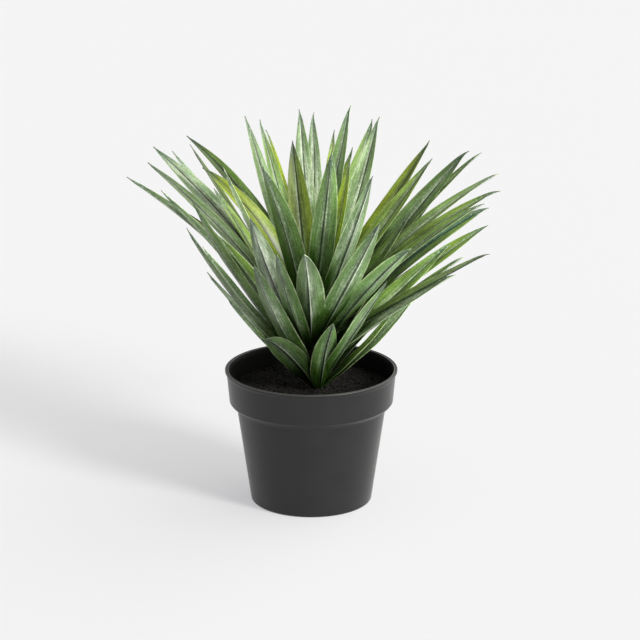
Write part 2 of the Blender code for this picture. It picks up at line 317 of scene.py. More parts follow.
floor_side = np.linspace(-FLOOR_HALF, FLOOR_HALF, FLOOR_POINTS)
floor_x, floor_y = np.meshgrid(floor_side, floor_side)
floor_points = np.stack([floor_x, floor_y, np.zeros_like(floor_x)], -1).reshape(-1, 3)
floor = mesh_object("studio_floor", floor_points, grid_faces(FLOOR_POINTS, FLOOR_POINTS, False), [paper])
print("floor:", 2 * FLOOR_HALF, "m square")

# %% Lights
KEY_FROM = (0.62, -0.53, 0.39)
KEY_SPREAD = math.radians(16)
KEY_STRENGTH = 2.8
ROOM_DIM = 0.33
ROOM_BRIGHT = 1.50
ROOM_BRIGHT_FROM = 0.6
ROOM_WHITE = (1.0, 1.0, 1.0, 1.0)
ROOM_WARM = (1.0, 0.980, 0.945, 1.0)


def lamp_turn(way):
    """The turn that makes a lamp's own -Z point against this way, so that its light comes from there."""
    flat = math.hypot(way[0], way[1])
    return (math.atan2(flat, way[2]), 0.0, math.atan2(way[0], -way[1]))


key_data = bpy.data.lights.new("key", "SUN")
key_data.angle = KEY_SPREAD
key_data.energy = KEY_STRENGTH
key = bpy.data.objects.new("key", key_data)
key.rotation_euler = lamp_turn(KEY_FROM)
scene.collection.objects.link(key)

room = bpy.data.worlds.new("room")
room.use_nodes = True
room_tree = room.node_tree
room_way = add(room_tree, "ShaderNodeTexCoord").outputs["Generated"]
room_share = fade(part(room_way, "X"), 0.0, ROOM_BRIGHT_FROM)
room_light = fade(room_share, 0.0, 1.0, ROOM_DIM, ROOM_BRIGHT)
room_colour = blend(room_share, ROOM_WHITE, ROOM_WARM)
set_inputs(room_tree.nodes["Background"], Strength=room_light, Color=room_colour)
scene.world = room
print("key from", KEY_FROM, "with strength", KEY_STRENGTH, "; room from", ROOM_DIM, "to", ROOM_BRIGHT)

# %% [markdown]
# ## The pot
# The pot is one thin moulding of charcoal plastic: a flat lip with a shallow groove round it, a deep plain
# band, a rounded shoulder where the band steps in, and a body that tapers to a flat foot. A moulding that
# is the same all the way round is its outline turned about its axis. The outline is drawn down the
# outside and up the inside as one closed line, and the same points turn round in even steps, so the wall
# has its real thickness.

# %% Sizes of the pot
POT_HEIGHT = 0.111
LIP_RADIUS = 0.070
LIP_HEIGHT = 0.002
LIP_UNDERCUT = 0.0006
LIP_CORNER_POINTS = 7
LIP_WIDTH = 0.0029
LIP_EDGE = 0.0005
LIP_GROOVE = 0.00035
BAND_TOP_RADIUS = 0.0688
BAND_FOOT_RADIUS = 0.0666
BAND_FOOT_Z = 0.0850
BAND_CORNER = 0.0010
BAND_CORNER_RISE = 0.0006
BODY_TOP_RADIUS = 0.0609
BODY_TOP_Z = 0.0818
FOOT_RADIUS = 0.0494
HEEL_RADIUS = 0.002
WALL = 0.0025
BASE_FLOOR = 0.003
POT_TURNS = 256


def arc(centre, radii, start, end, count):
    """Points on an ellipse: centre plus radii times cosine and sine of evenly spaced angles."""
    angle = np.radians(np.linspace(start, end, count))
    return np.stack([centre[0] + radii[0] * np.cos(angle), centre[1] + radii[1] * np.sin(angle)], -1)


def line(start, end, count):
    """Evenly spaced points from start to end, without the end itself."""
    share = np.arange(count)[:, None] / count
    return (1 - share) * np.array(start) + share * np.array(end)


def turned(profile, turns):
    """A (radius, height) outline turned about Z, as a grid of points.

    Point (i, j) is (radius_i cos a_j, radius_i sin a_j, height_i), with the angles a_j evenly spaced.
    """
    angle = np.arange(turns) * 2 * math.pi / turns
    radius = profile[:, 0][:, None]
    height = np.broadcast_to(profile[:, 1][:, None], (len(profile), turns))
    return np.stack([radius * np.cos(angle), radius * np.sin(angle), height], -1)


# %% Outline of the pot
lip_foot = POT_HEIGHT - LIP_HEIGHT
lip_inner = LIP_RADIUS - LIP_WIDTH
step_out = BAND_FOOT_RADIUS - BODY_TOP_RADIUS
step_down = BAND_FOOT_Z - BODY_TOP_Z

outside = [
    arc((LIP_RADIUS - LIP_EDGE, POT_HEIGHT - LIP_EDGE), (LIP_EDGE, LIP_EDGE), 90, 0, LIP_CORNER_POINTS),
    arc((LIP_RADIUS - LIP_UNDERCUT, lip_foot + LIP_UNDERCUT), (LIP_UNDERCUT, LIP_UNDERCUT), 0, -90, 6),
    line((BAND_TOP_RADIUS, lip_foot), (BAND_FOOT_RADIUS, BAND_FOOT_Z + BAND_CORNER_RISE), 10),
    arc((BAND_FOOT_RADIUS - BAND_CORNER, BAND_FOOT_Z), (BAND_CORNER, BAND_CORNER), 0, -55, 5),
    arc((BODY_TOP_RADIUS, BAND_FOOT_Z), (step_out, step_down), -38, -84, 9),
    line((BODY_TOP_RADIUS, BODY_TOP_Z), (FOOT_RADIUS, HEEL_RADIUS), 22),
    arc((FOOT_RADIUS - HEEL_RADIUS, HEEL_RADIUS), (HEEL_RADIUS, HEEL_RADIUS), 0, -90, 8),
    line((FOOT_RADIUS - HEEL_RADIUS, 0.0), (0.0, 0.0), 6)[1:],
    [(0.0, 0.0)],
]
groove_share = np.linspace(0, 1, 11)[1:-1]
groove_radius = lip_inner + LIP_EDGE + (LIP_WIDTH - 2 * LIP_EDGE) * groove_share
groove = np.stack([groove_radius, POT_HEIGHT - LIP_GROOVE * np.sin(math.pi * groove_share)], -1)
inside = [
    line((0.0, BASE_FLOOR), (FOOT_RADIUS - WALL, BASE_FLOOR), 5),
    line((FOOT_RADIUS - WALL, BASE_FLOOR), (BODY_TOP_RADIUS - WALL, BODY_TOP_Z + WALL), 12),
    arc((BODY_TOP_RADIUS - WALL, BAND_FOOT_Z + WALL), (step_out, step_down), -84, -4, 8),
    line((BAND_FOOT_RADIUS - WALL, BAND_FOOT_Z + WALL), (BAND_TOP_RADIUS - WALL, lip_foot), 8),
    line((BAND_TOP_RADIUS - WALL, lip_foot), (lip_inner, POT_HEIGHT - LIP_EDGE), 3),
    arc((lip_inner + LIP_EDGE, POT_HEIGHT - LIP_EDGE), (LIP_EDGE, LIP_EDGE), 180, 90, LIP_CORNER_POINTS),
    groove,
]
pot_line = np.vstack([np.vstack(outside)[::-1], np.vstack(inside)[::-1]])
print("pot outline:", len(pot_line), "points")

# %% [markdown]
# ### Its plastic
# The mould was left with a fine sparked texture, so the plastic is matt. A trace of dust pales the pot's
# two sides, where the eye meets them at a slant, and the shader's sheen stands for it. The lip's crests
# carry a painted highlight, less of it in the groove, and a dark line of painted shade lies in the
# undercut.
# The grain is a noise finer than a millimetre that dents the light and mottles the charcoal by a hair.
# It is a group, because the inside, which is duller and painted darker as painted shade, and the filling
# use it too.

# %% Grain group
grain_group, grain_in, grain_out = new_group(
    "moulded_grain",
    {"Vector": "vector", "Size": "value"},
    {"Fine": "value", "Cloud": "value"},
)
GRAINS_TO_A_CLOUD = 40.0
grain_place = grain_in.outputs["Vector"]
grain_scale = calc("DIVIDE", 1.0, grain_in.outputs["Size"])
cloud_scale = calc("DIVIDE", grain_scale, GRAINS_TO_A_CLOUD)
grain_fine = noise(grain_place, grain_scale, 3.0)
set_inputs(grain_out, Fine=grain_fine, Cloud=noise(grain_place, cloud_scale, 4.0))


def grained(shader, size, strength, distance):
    """Dent the light of a finish by a grain of this size, and give the grain's fine and cloudy parts."""
    grain = use_group(shader.id_data, grain_group, Vector=object_place(shader), Size=size)
    set_inputs(shader, Normal=bump(grain.outputs["Fine"], strength, distance))
    return grain.outputs["Fine"], grain.outputs["Cloud"]


# %% Charcoal plastic
PLASTIC_GRAIN = 0.0006
CHARCOAL_DEEP = (0.0080, 0.0080, 0.0080, 1.0)
CHARCOAL_PALE = (0.0104, 0.0104, 0.0104, 1.0)
# Painted shade for the undercut below the lip, and a painted highlight for the lip's crests.
UNDERCUT_PAINTED_SHADE = (0.0030, 0.0030, 0.0030, 1.0)
LIP_PAINTED_HIGHLIGHT = (0.090, 0.088, 0.085, 1.0)
SHEEN_TINT = (1.0, 0.95, 0.89, 1.0)

plastic, plastic_shader = new_material("charcoal_plastic")
_, plastic_cloud = grained(plastic_shader, PLASTIC_GRAIN, 0.25, 0.0002)
plastic_z = part(object_place(plastic_shader), "Z")


def lip_fade(start, end, low=0.0, high=1.0):
    """A fade over the pot's height between two depths below the top of its lip, in millimetres."""
    return fade(plastic_z, POT_HEIGHT - start * MM, POT_HEIGHT - end * MM, low, high)


# Painted highlight on the lip's crests, less in its groove and none down its side. Painted shade in the
# undercut.
lip_highlight = times(lip_fade(0.3, 0.05, 0.30, 1.0), lip_fade(0.8, 0.5))
undercut_shade = times(lip_fade(1.1, 1.6), lip_fade(2.5, 2.1))
charcoal = blend(fade(plastic_cloud, 0.3, 0.7), CHARCOAL_DEEP, CHARCOAL_PALE)
# Painted shade in the undercut, then a painted highlight on the lip's crests.
charcoal = blend(undercut_shade, charcoal, UNDERCUT_PAINTED_SHADE)
charcoal = blend(lip_highlight, charcoal, LIP_PAINTED_HIGHLIGHT)
plastic_roughness = fade(plastic_cloud, 0.25, 0.75, 0.31, 0.38)
set_inputs(plastic_shader, Base_Color=charcoal, Roughness=plastic_roughness, Specular_IOR_Level=0.40)
set_inputs(plastic_shader, Sheen_Weight=0.22, Sheen_Roughness=0.25, Sheen_Tint=SHEEN_TINT)

# %% Plastic inside
INSIDE_GRAIN = 0.0011
# The inside is a darker copy of the charcoal: painted shade for the inside of the pot.
INSIDE_SHADED_DEEP = (0.0030, 0.0030, 0.0031, 1.0)
INSIDE_SHADED_PALE = (0.0052, 0.0050, 0.0048, 1.0)

core, core_shader = new_material("plastic_inside_painted_shade")
_, core_cloud = grained(core_shader, INSIDE_GRAIN, 0.2, 0.0002)
core_shaded_colour = blend(fade(core_cloud, 0.35, 0.7), INSIDE_SHADED_DEEP, INSIDE_SHADED_PALE)
core_roughness = fade(core_cloud, 0.3, 0.7, 0.55, 0.68)
set_inputs(core_shader, Base_Color=core_shaded_colour, Roughness=core_roughness, Specular_IOR_Level=0.12)

# %% Turn the pot
# The duller finish, painted darker as painted shade, starts where the lip's inner edge has turned down
# into the pot.
INNER_CORNER_ROWS = 5
pot_shell = ringed_object("pot_shell", turned(pot_line, POT_TURNS), [plastic, core])
row_of_face = np.repeat(np.arange(len(pot_line) - 1), POT_TURNS)
inner_rows = len(np.vstack(outside)) + len(groove) + INNER_CORNER_ROWS
pot_shell.data.polygons.foreach_set("material_index", (row_of_face >= inner_rows).astype(np.int32))
close_poles(pot_shell)
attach(pot_shell, "root")
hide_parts("pot")

# %% [markdown]
# ## The filling
# The pot is filled with a dark, fine-crumbed potting mix, level a little below the lip and nearly black
# in the pot's own shade. Its body is again an outline turned about the axis. The stem stands in a plain
# hole a little off that axis, so the rings of the top slide from the hole's middle to the pot's. The top
# alone is stirred: a seeded sum of ripples and a layer of small round crumbs raise it by about a
# millimetre, which is enough to catch specks of light, and it is pressed up a little round the stem.

# %% Sizes of the filling
SOIL_Z = 0.095
STEM_FOOT_Z = 0.060
STEM_FOOT_RADIUS = 0.0055
FOOT_OFF_AXIS = np.array((0.006, -0.007))
GAP = 0.0003
SOIL_TURNS = 288
SOIL_RINGS = 64
STIR_SEED = 11
RIPPLES = 14
RIPPLE_PACES = (60, 260)
RIPPLE_LIFT = 0.0012
CRUMB_SEED = 5
CRUMB_CELL = 0.0023
CRUMB_CELLS = 64
CRUMB_REACH_LEAST = 0.45
CRUMB_REACH_MORE = 0.35
CRUMB_LIFT = 0.0011
STIR_SINK = 0.0006
CALM_EDGE = 0.002
MOUND_HEIGHT = 0.0020
MOUND_REACH = 0.005


def wall_radius(height):
    """The pot's inner radius at a height, drawn in by the gap."""
    inner = np.vstack(inside)
    order = np.argsort(inner[:, 1])
    return float(np.interp(height, inner[order, 1], inner[order, 0])) - GAP


# %% Stir the top
rng = np.random.default_rng(STIR_SEED)
soil_edge = wall_radius(SOIL_Z)
hole_radius = STEM_FOOT_RADIUS + GAP
ring_radius = np.linspace(hole_radius, soil_edge, SOIL_RINGS)
top_grid = turned(np.stack([ring_radius, np.full(SOIL_RINGS, SOIL_Z)], -1), SOIL_TURNS)
top_grid[..., :2] += FOOT_OFF_AXIS * np.linspace(1, 0, SOIL_RINGS)[:, None, None]


def crumbs(x, y, size, seed):
    """A layer of round crumbs: each point's height is that of the highest crumb's dome over it.

    Crumb centres lie on a square lattice of the given size, each moved by a seeded draw within its cell.
    """
    draws = np.random.default_rng(seed).random((CRUMB_CELLS, CRUMB_CELLS, 3))
    cell_x = np.floor(x / size).astype(int)
    cell_y = np.floor(y / size).astype(int)
    height = np.zeros_like(x)
    for shift_x in (-1, 0, 1):
        for shift_y in (-1, 0, 1):
            cx = cell_x + shift_x
            cy = cell_y + shift_y
            draw = draws[cx % CRUMB_CELLS, cy % CRUMB_CELLS]
            away = np.hypot(x / size - cx - draw[..., 0], y / size - cy - draw[..., 1])
            reach = CRUMB_REACH_LEAST + CRUMB_REACH_MORE * draw[..., 2]
            height = np.maximum(height, np.sqrt(np.clip(reach**2 - away**2, 0, None)))
    return height


soil_x, soil_y = top_grid[..., 0], top_grid[..., 1]
ripples = np.zeros_like(soil_x)
for _ in range(RIPPLES):
    pace = rng.uniform(*RIPPLE_PACES)
    turn = rng.uniform(0, 2 * math.pi)
    start = rng.uniform(0, 2 * math.pi)
    ripples += np.sin(pace * (soil_x * math.cos(turn) + soil_y * math.sin(turn)) + start) / RIPPLES
calm = np.clip(np.minimum(ring_radius - hole_radius, soil_edge - ring_radius) / CALM_EDGE, 0, 1)[:, None]
lift = RIPPLE_LIFT * ripples + CRUMB_LIFT * crumbs(soil_x, soil_y, CRUMB_CELL, CRUMB_SEED) - STIR_SINK
mound = MOUND_HEIGHT * np.exp(-(((ring_radius - hole_radius) / MOUND_REACH) ** 2))[:, None]
top_grid[..., 2] += calm * lift + mound
print("the mix rises and falls by", round(float(np.ptp(top_grid[..., 2])) / MM, 2), "mm")

# %% Potting mix
MIX_GRAIN = 0.0007
MIX_DEEP = (0.0034, 0.0031, 0.0030, 1.0)
MIX_PALE = (0.0080, 0.0072, 0.0068, 1.0)
MIX_SPECK = (0.072, 0.066, 0.062, 1.0)

mix, mix_shader = new_material("potting_mix")
mix_fine, mix_cloud = grained(mix_shader, MIX_GRAIN, 1.0, 0.0010)
mix_colour = blend(fade(mix_cloud, 0.3, 0.7), MIX_DEEP, MIX_PALE)
mix_colour = blend(fade(mix_fine, 0.55, 0.66), mix_colour, MIX_SPECK)
set_inputs(mix_shader, Base_Color=mix_colour, Roughness=0.95, Specular_IOR_Level=0.1)

# %% Fill the pot
hole_floor = STEM_FOOT_Z - GAP
fill_floor = BASE_FLOOR + GAP
inner_line = np.vstack(inside)[::-1]
in_mix = (inner_line[:, 1] < SOIL_Z) & (inner_line[:, 1] > 2 * BASE_FLOOR)
wall_line = inner_line[in_mix] - np.array([GAP, 0.0])
hole_rim = (hole_radius, hole_floor)
hole_line = np.vstack([line((0.0, hole_floor), hole_rim, 3), line(hole_rim, (hole_radius, SOIL_Z), 5)])
base_rim = (FOOT_RADIUS - WALL - GAP, fill_floor)
base_line = np.vstack([line(base_rim, (0.0, fill_floor), 4), [(0.0, fill_floor)]])
hole_grid = turned(hole_line, SOIL_TURNS)
hole_grid[..., :2] += FOOT_OFF_AXIS
soil_grid = np.vstack([hole_grid, top_grid, turned(np.vstack([wall_line, base_line]), SOIL_TURNS)])
soil_bed = ringed_object("soil_bed", soil_grid, [mix])
close_poles(soil_bed)
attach(soil_bed, "root")
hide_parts("soil")

# %% [markdown]
# ### Loose crumbs
# A real mix never lies as one skin: a few hundred crumbs sit loose all over it. Each crumb is one
# twelve-cornered lump, dented and squashed by seeded draws, and all of them are worked out together, so
# that five hundred cost no more code than one.

# %% Scatter the crumbs
CRUMB_COUNT = 520
CRUMB_LEAST = 0.0004
CRUMB_MOST = 0.0011
CRUMB_MARGIN = 0.0015
CRUMB_CROWD = 0.6
CRUMB_DENT = 0.25
CRUMB_SQUASH = (0.7, 1.2)
CRUMB_RISE = 0.25

golden = (1 + math.sqrt(5)) / 2
lump = np.array(
    [(-1, golden, 0), (1, golden, 0), (-1, -golden, 0), (1, -golden, 0)]
    + [(0, -1, golden), (0, 1, golden), (0, -1, -golden), (0, 1, -golden)]
    + [(golden, 0, -1), (golden, 0, 1), (-golden, 0, -1), (-golden, 0, 1)]
) / math.hypot(1, golden)
lump_faces = np.array(
    [(0, 11, 5), (0, 5, 1), (0, 1, 7), (0, 7, 10), (0, 10, 11), (1, 5, 9), (5, 11, 4), (11, 10, 2)]
    + [(10, 7, 6), (7, 1, 8), (3, 9, 4), (3, 4, 2), (3, 2, 6), (3, 6, 8), (3, 8, 9), (4, 9, 5)]
    + [(2, 4, 11), (6, 2, 10), (8, 6, 7), (9, 8, 1)]
)
crumb_span = soil_edge - hole_radius - 2 * CRUMB_MARGIN
crumb_radius = hole_radius + crumb_span * rng.random(CRUMB_COUNT) ** CRUMB_CROWD + CRUMB_MARGIN
crumb_angle = rng.random(CRUMB_COUNT) * 2 * math.pi
crumb_size = rng.uniform(CRUMB_LEAST, CRUMB_MOST, CRUMB_COUNT)
ring = np.argmin(np.abs(ring_radius[None, :] - crumb_radius[:, None]), 1)
turn = np.round(crumb_angle / (2 * math.pi) * SOIL_TURNS).astype(int) % SOIL_TURNS
rests_at = top_grid[ring, turn]
dents = 1 + CRUMB_DENT * rng.standard_normal((CRUMB_COUNT, len(lump), 1))
squash = rng.uniform(*CRUMB_SQUASH, (CRUMB_COUNT, 1, 3))
crumb_points = lump[None] * dents * squash * crumb_size[:, None, None] + rests_at[:, None, :]
crumb_points[..., 2] += CRUMB_RISE * crumb_size[:, None]
crumb_faces = lump_faces[None] + len(lump) * np.arange(CRUMB_COUNT)[:, None, None]
crumb_points = crumb_points.reshape(-1, 3)
crumb_faces = outward(crumb_points, crumb_faces.reshape(-1, 3))
loose_crumbs = mesh_object("loose_crumbs", crumb_points, crumb_faces, [mix], smooth=False)
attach(loose_crumbs, "root")
print("crumbs:", CRUMB_COUNT, "of", len(lump_faces), "faces each")

# %% [markdown]
# ## The leaves
# The plant is one head of stiff sword leaves in tiers round a short stem. Each leaf is the same few
# facts with its own numbers: where it leaves the stem, which way it points, how steeply it rises, how
# long and how wide it is, and how much it droops, rolls and sweeps on its way. The same table shapes the
# measured solid, so each dressed blade lies where its solid does.

# %% The leaf table
# One sword leaf. Its root's height above the pot's foot, its length and its full width are in
# millimetres, and its angles in degrees: the bearing round the stem (0 is +X, 90 is +Y, away from the
# photograph's viewer), the rise above level at the root, and what the leaf changes by from root to tip,
# its droop, its roll about its own length and its sweep round the stem.
Leaf = namedtuple("Leaf", "height bearing rise length width droop roll sweep", defaults=(0, 0, 0))

# The leaves that the photograph shows, tier by tier up the stem.
SHOWN_LEAVES = (
    # lowest tier, on the filling
    Leaf(98, 200, 46, 104, 11, -10, 20),
    Leaf(100, 202, 48, 132, 12, -6, 16),
    Leaf(98, 211, 49, 64, 15, 0, 10),
    Leaf(96, 240, 57, 95, 20, 32, 75, 4),
    Leaf(96, 291, 58, 80, 21),
    Leaf(101, 317, 50, 126, 19, -6),
    Leaf(98, 348, 36, 111, 17, -18, 40, -2),
    Leaf(98, 336, 38, 95, 12, -18, 34, 5),
    Leaf(99, 18, 46, 136, 16, 4),
    # second tier
    Leaf(104, 234, 53, 140, 19, -6, 14, 8),
    Leaf(106, 205, 45, 172, 12, -16, 16, 3),
    Leaf(109, 197, 49, 142, 13, -8, 24, 5),
    Leaf(119, 193, 56, 190, 17, 8, 30, 2),
    Leaf(112, 336, 42, 150, 17, 7, 28, 2),
    Leaf(112, 13, 41, 146, 21, 0, 32, 3),
    Leaf(110, 11, 38, 150, 17, 4, 0, 4),
    Leaf(116, 19, 41, 181, 20, 14, 22, 3),
    Leaf(114, 207, 50, 184, 16, -12, 22, 9),
    Leaf(118, 204, 61, 140, 19, 9, 30, -1),
    Leaf(126, 251, 46, 152, 16, -3, 0, 10),
    Leaf(124, 237, 54, 165, 22, -5, 26, 7),
    Leaf(128, 338, 35, 179, 18, 2, -20, -6),
    Leaf(124, 328, 55, 148, 24, 15, -26, -20),
    # third tier
    Leaf(126, 191, 58, 212, 17, 22, 42, 3),
    Leaf(134, 180, 60, 195, 18, 22, -24, -10),
    Leaf(128, 178, 58, 156, 18, 18, -20),
    Leaf(132, 299, 48, 161, 22, -8, -20, 4),
    Leaf(132, 270, 54, 147, 24, 15, -10, -5),
    Leaf(130, 36, 37, 209, 22, 27, 25, 8),
    Leaf(128, 6, 53, 181, 18, 24, 14, 2),
    Leaf(134, 18, 49, 197, 18, 27, 17, 3),
    Leaf(134, 38, 43, 214, 22, 10, 20, 6),
    Leaf(140, 39, 40, 215, 17, 9, -7, -2),
    Leaf(140, 139, 43, 197, 13, 6, 8, -2),
    Leaf(136, 143, 52, 186, 12, 2, 20, 3),
    Leaf(142, 144, 49, 209, 21, 22, -18, -5),
    Leaf(142, 304, 58, 177, 19, -3, -6, -8),
    Leaf(142, 241, 74, 177, 22, 21, 6, 3),
    Leaf(134, 210, 60, 158, 19, 0, -45, -15),
    Leaf(140, 220, 56, 178, 13, -10, -8, 2),
    # fourth tier
    Leaf(146, 27, 42, 204, 18, 20, 0, 3),
    Leaf(146, 22, 54, 166, 20, 5, 15, 3),
    Leaf(146, 166, 78, 158, 20, 46, -36, -7),
    Leaf(158, 125, 50, 204, 18, 31, 0, 6),
    Leaf(146, 125, 60, 181, 16),
    Leaf(150, 286, 68, 181, 21, 7, -16, -9),
    Leaf(152, 32, 71, 134, 15, -8, 12, 6),
    Leaf(154, 121, 79, 143, 22, 2, -14, -8),
    Leaf(152, 49, 39, 196, 18, 4, -7, 5),
    Leaf(150, 54, 51, 179, 20, -14, 0, 4),
    # top tier, leaning away behind
    Leaf(158, 113, 54, 176, 13, 9, 12, -3),
    Leaf(158, 104, 48, 181, 9, 13, 14, 3),
    Leaf(158, 94, 50, 190, 18, 8),
    Leaf(158, 87, 48, 192, 16, 9, 0, 5),
    Leaf(158, 79, 45, 179, 12, 7, 0, 6),
    Leaf(154, 64, 71, 174, 19, 3, -4, -7),
    Leaf(156, 76, 48, 163, 13, 11, -10, -5),
    Leaf(154, 65, 49, 184, 19, 2, 0, 2),
    Leaf(154, 62, 40, 174, 16, -2, -10, 14),
)

# The leaves behind, which the photograph hides: whorls of alike leaves across the far side.
Whorl = namedtuple("Whorl", "height count length rise width droop")
HIDDEN_WHORLS = (
    Whorl(99, 7, 92, 52, 15, 4),
    Whorl(107, 7, 116, 54, 17, 6),
    Whorl(117, 7, 132, 54, 18, 8),
    Whorl(126, 6, 132, 52, 18, 8),
)
HIDDEN_FROM = 26
HIDDEN_SPAN = 128
HIDDEN_SEED = 7
BEARING_OFF = 5
HEIGHT_OFF = 1
RISE_OFF = 3
ROLL_OFF = 12
LENGTH_SHARES = (0.92, 1.06)


def hidden_leaves():
    """Whorls of leaves evenly spaced over the far side, each a little off the rule, with a fixed seed."""
    rng = random.Random(HIDDEN_SEED)
    leaves = []
    for whorl in HIDDEN_WHORLS:
        for index in range(whorl.count):
            even = HIDDEN_FROM + HIDDEN_SPAN * (index + 0.5) / whorl.count
            bearing = even + rng.uniform(-BEARING_OFF, BEARING_OFF)
            height = whorl.height + rng.uniform(-HEIGHT_OFF, HEIGHT_OFF)
            rise = whorl.rise + rng.uniform(-RISE_OFF, RISE_OFF)
            length = whorl.length * rng.uniform(*LENGTH_SHARES)
            roll = rng.uniform(-ROLL_OFF, ROLL_OFF)
            leaves.append(Leaf(height, bearing, rise, length, whorl.width, whorl.droop, roll))
    return leaves


print(len(SHOWN_LEAVES), "leaves in view and", len(hidden_leaves()), "behind")

# %% [markdown]
# ### How each leaf is coloured
# The leaves come from one mould and differ by their paint: some are pale and some deep, a few at the
# heart are almost lime, and the slate stripe and its chalky bloom are strong on some and faint on others.
# Three marks out of ten for each leaf say how light, how lime and how chalky it is, in the order of the
# table. The tone marks, and the chalk marks of a few leaves, are partly paint and partly painted light and
# shade, set for how lit each leaf looks where it stands. Much bloom greys the whole leaf, a leaf without
# any keeps a dark blue-green middle, and the stripe of a very lime leaf is thinner.

# %% The leaf finishes
MARKS = ("tone", "lime", "bloom")
# Tone marks, and the chalk marks of a few leaves, carry painted light and shade as well as paint.
SHOWN_FINISHES = (
    # lowest tier
    (6, 2, 5), (4, 1, 7), (4, 1, 3), (1, 1, 5), (4, 1, 5),
    (5, 1, 6), (10, 3, 9), (7, 4, 4), (9, 3, 6),
    # second tier
    (3, 1, 6), (3, 1, 7), (9, 2, 7), (5, 2, 6), (10, 3, 10),
    (7, 3, 5), (6, 3, 6), (5, 4, 4), (3, 3, 3), (7, 4, 3),
    (3, 1, 5), (4, 1, 9), (3, 4, 3), (7, 1, 5),
    # third tier
    (4, 2, 6), (3, 2, 7), (6, 5, 5), (5, 1, 6), (5, 2, 7),
    (4, 3, 0), (5, 3, 5), (4, 4, 4), (3, 2, 6), (5, 3, 5),
    (7, 2, 9), (3, 4, 5), (5, 1, 10), (5, 1, 7), (4, 2, 4),
    (5, 4, 5), (6, 4, 7),
    # fourth tier
    (5, 3, 6), (6, 4, 5), (3, 9, 3), (3, 3, 3), (5, 2, 7),
    (6, 2, 5), (6, 8, 3), (2, 6, 5), (3, 7, 4), (6, 3, 8),
    # top tier
    (5, 3, 6), (5, 10, 4), (5, 3, 9), (5, 1, 9), (5, 7, 6),
    (6, 2, 7), (4, 8, 2), (6, 4, 7), (5, 6, 6),
)
HIDDEN_FINISH = (4, 3, 5)
print("finishes for", len(SHOWN_FINISHES), "leaves in view")

# %% [markdown]
# ### The shape of a blade
# A blade is a section carried along a bent path. The section is a shallow V, a little full in each
# half, thick at the keel and thin at the edges. The path starts inside the stem, bends evenly and hooks
# over a little at the tip, more on the leaves that point to the right. Both are formulas of two numbers,
# the share of the length from root to tip and the place across from one edge to the other, so all the
# leaves are worked out as one block of numbers.

# %% Sizes of a blade
STEM_TOP_Z = 0.170
STEM_TOP_RADIUS = 0.0064
FOLD = math.radians(16)
BASE_SHARE = 0.20
FULL_FROM = 0.30
TAPER_FROM = 0.40
TAPER_POWER = 2.4
TIP_HALF_WIDTH = 0.0004
ROOT_RADIUS_LOW = 0.006
ROOT_RADIUS_HIGH = 0.003
ROOT_LOW_Z = 0.098
ROOT_HIGH_Z = 0.158
LEAN_FROM_Z = 0.098
LEAN_TO_Z = 0.116
GATHER = 0.003
KEEL_THICKNESS = 0.0009
EDGE_THICKNESS = 0.00025
KEEL_RISE = 0.00045
KEEL_WIDTH = 0.0007
THICKEST_SHARE = 1.1
FULLNESS = 0.03
WAVE = 0.05
WAVES_LEAST = 1.2
WAVES_MORE = 1.3
ROLL_AT_ROOT = 0.3
TIP_CROWD = 1.25
HOOK_FROM = 0.92
HOOK_SIDE = math.radians(18)
HOOK_DOWN = math.radians(28)
LEAF_APART = 0.37
HALF_ACROSS = np.array((0.06, 0.15, 0.32, 0.52, 0.72, 0.88, 0.965, 1))
ACROSS = np.concatenate([-HALF_ACROSS[::-1], [0], HALF_ACROSS])


# %% Build the blades
def half_width(share, width):
    """Half the width at a share of the length: a narrow stalk, an even middle, then a point."""
    grow = BASE_SHARE + (1 - BASE_SHARE) * np.sin(math.pi / 2 * np.clip(share / FULL_FROM, 0, 1))
    taper = 1 - np.clip((share - TAPER_FROM) / (1 - TAPER_FROM), 0, 1) ** TAPER_POWER
    return np.maximum(width / 2 * grow * taper, TIP_HALF_WIDTH)


def shares(rows):
    """Shares of the length from root to tip, one for each row, crowded towards the tip."""
    return 1 - (1 - np.linspace(0, 1, rows)) ** TIP_CROWD


def directions(bearing, rise):
    """The unit vectors at these angles."""
    return np.stack([np.cos(rise) * np.cos(bearing), np.cos(rise) * np.sin(bearing), np.sin(rise)], -1)


def lean_share(height):
    """1 at the filling, 0 from the stem's neck upwards, and even between."""
    return np.clip((LEAN_TO_Z - height) / (LEAN_TO_Z - LEAN_FROM_Z), 0, 1)


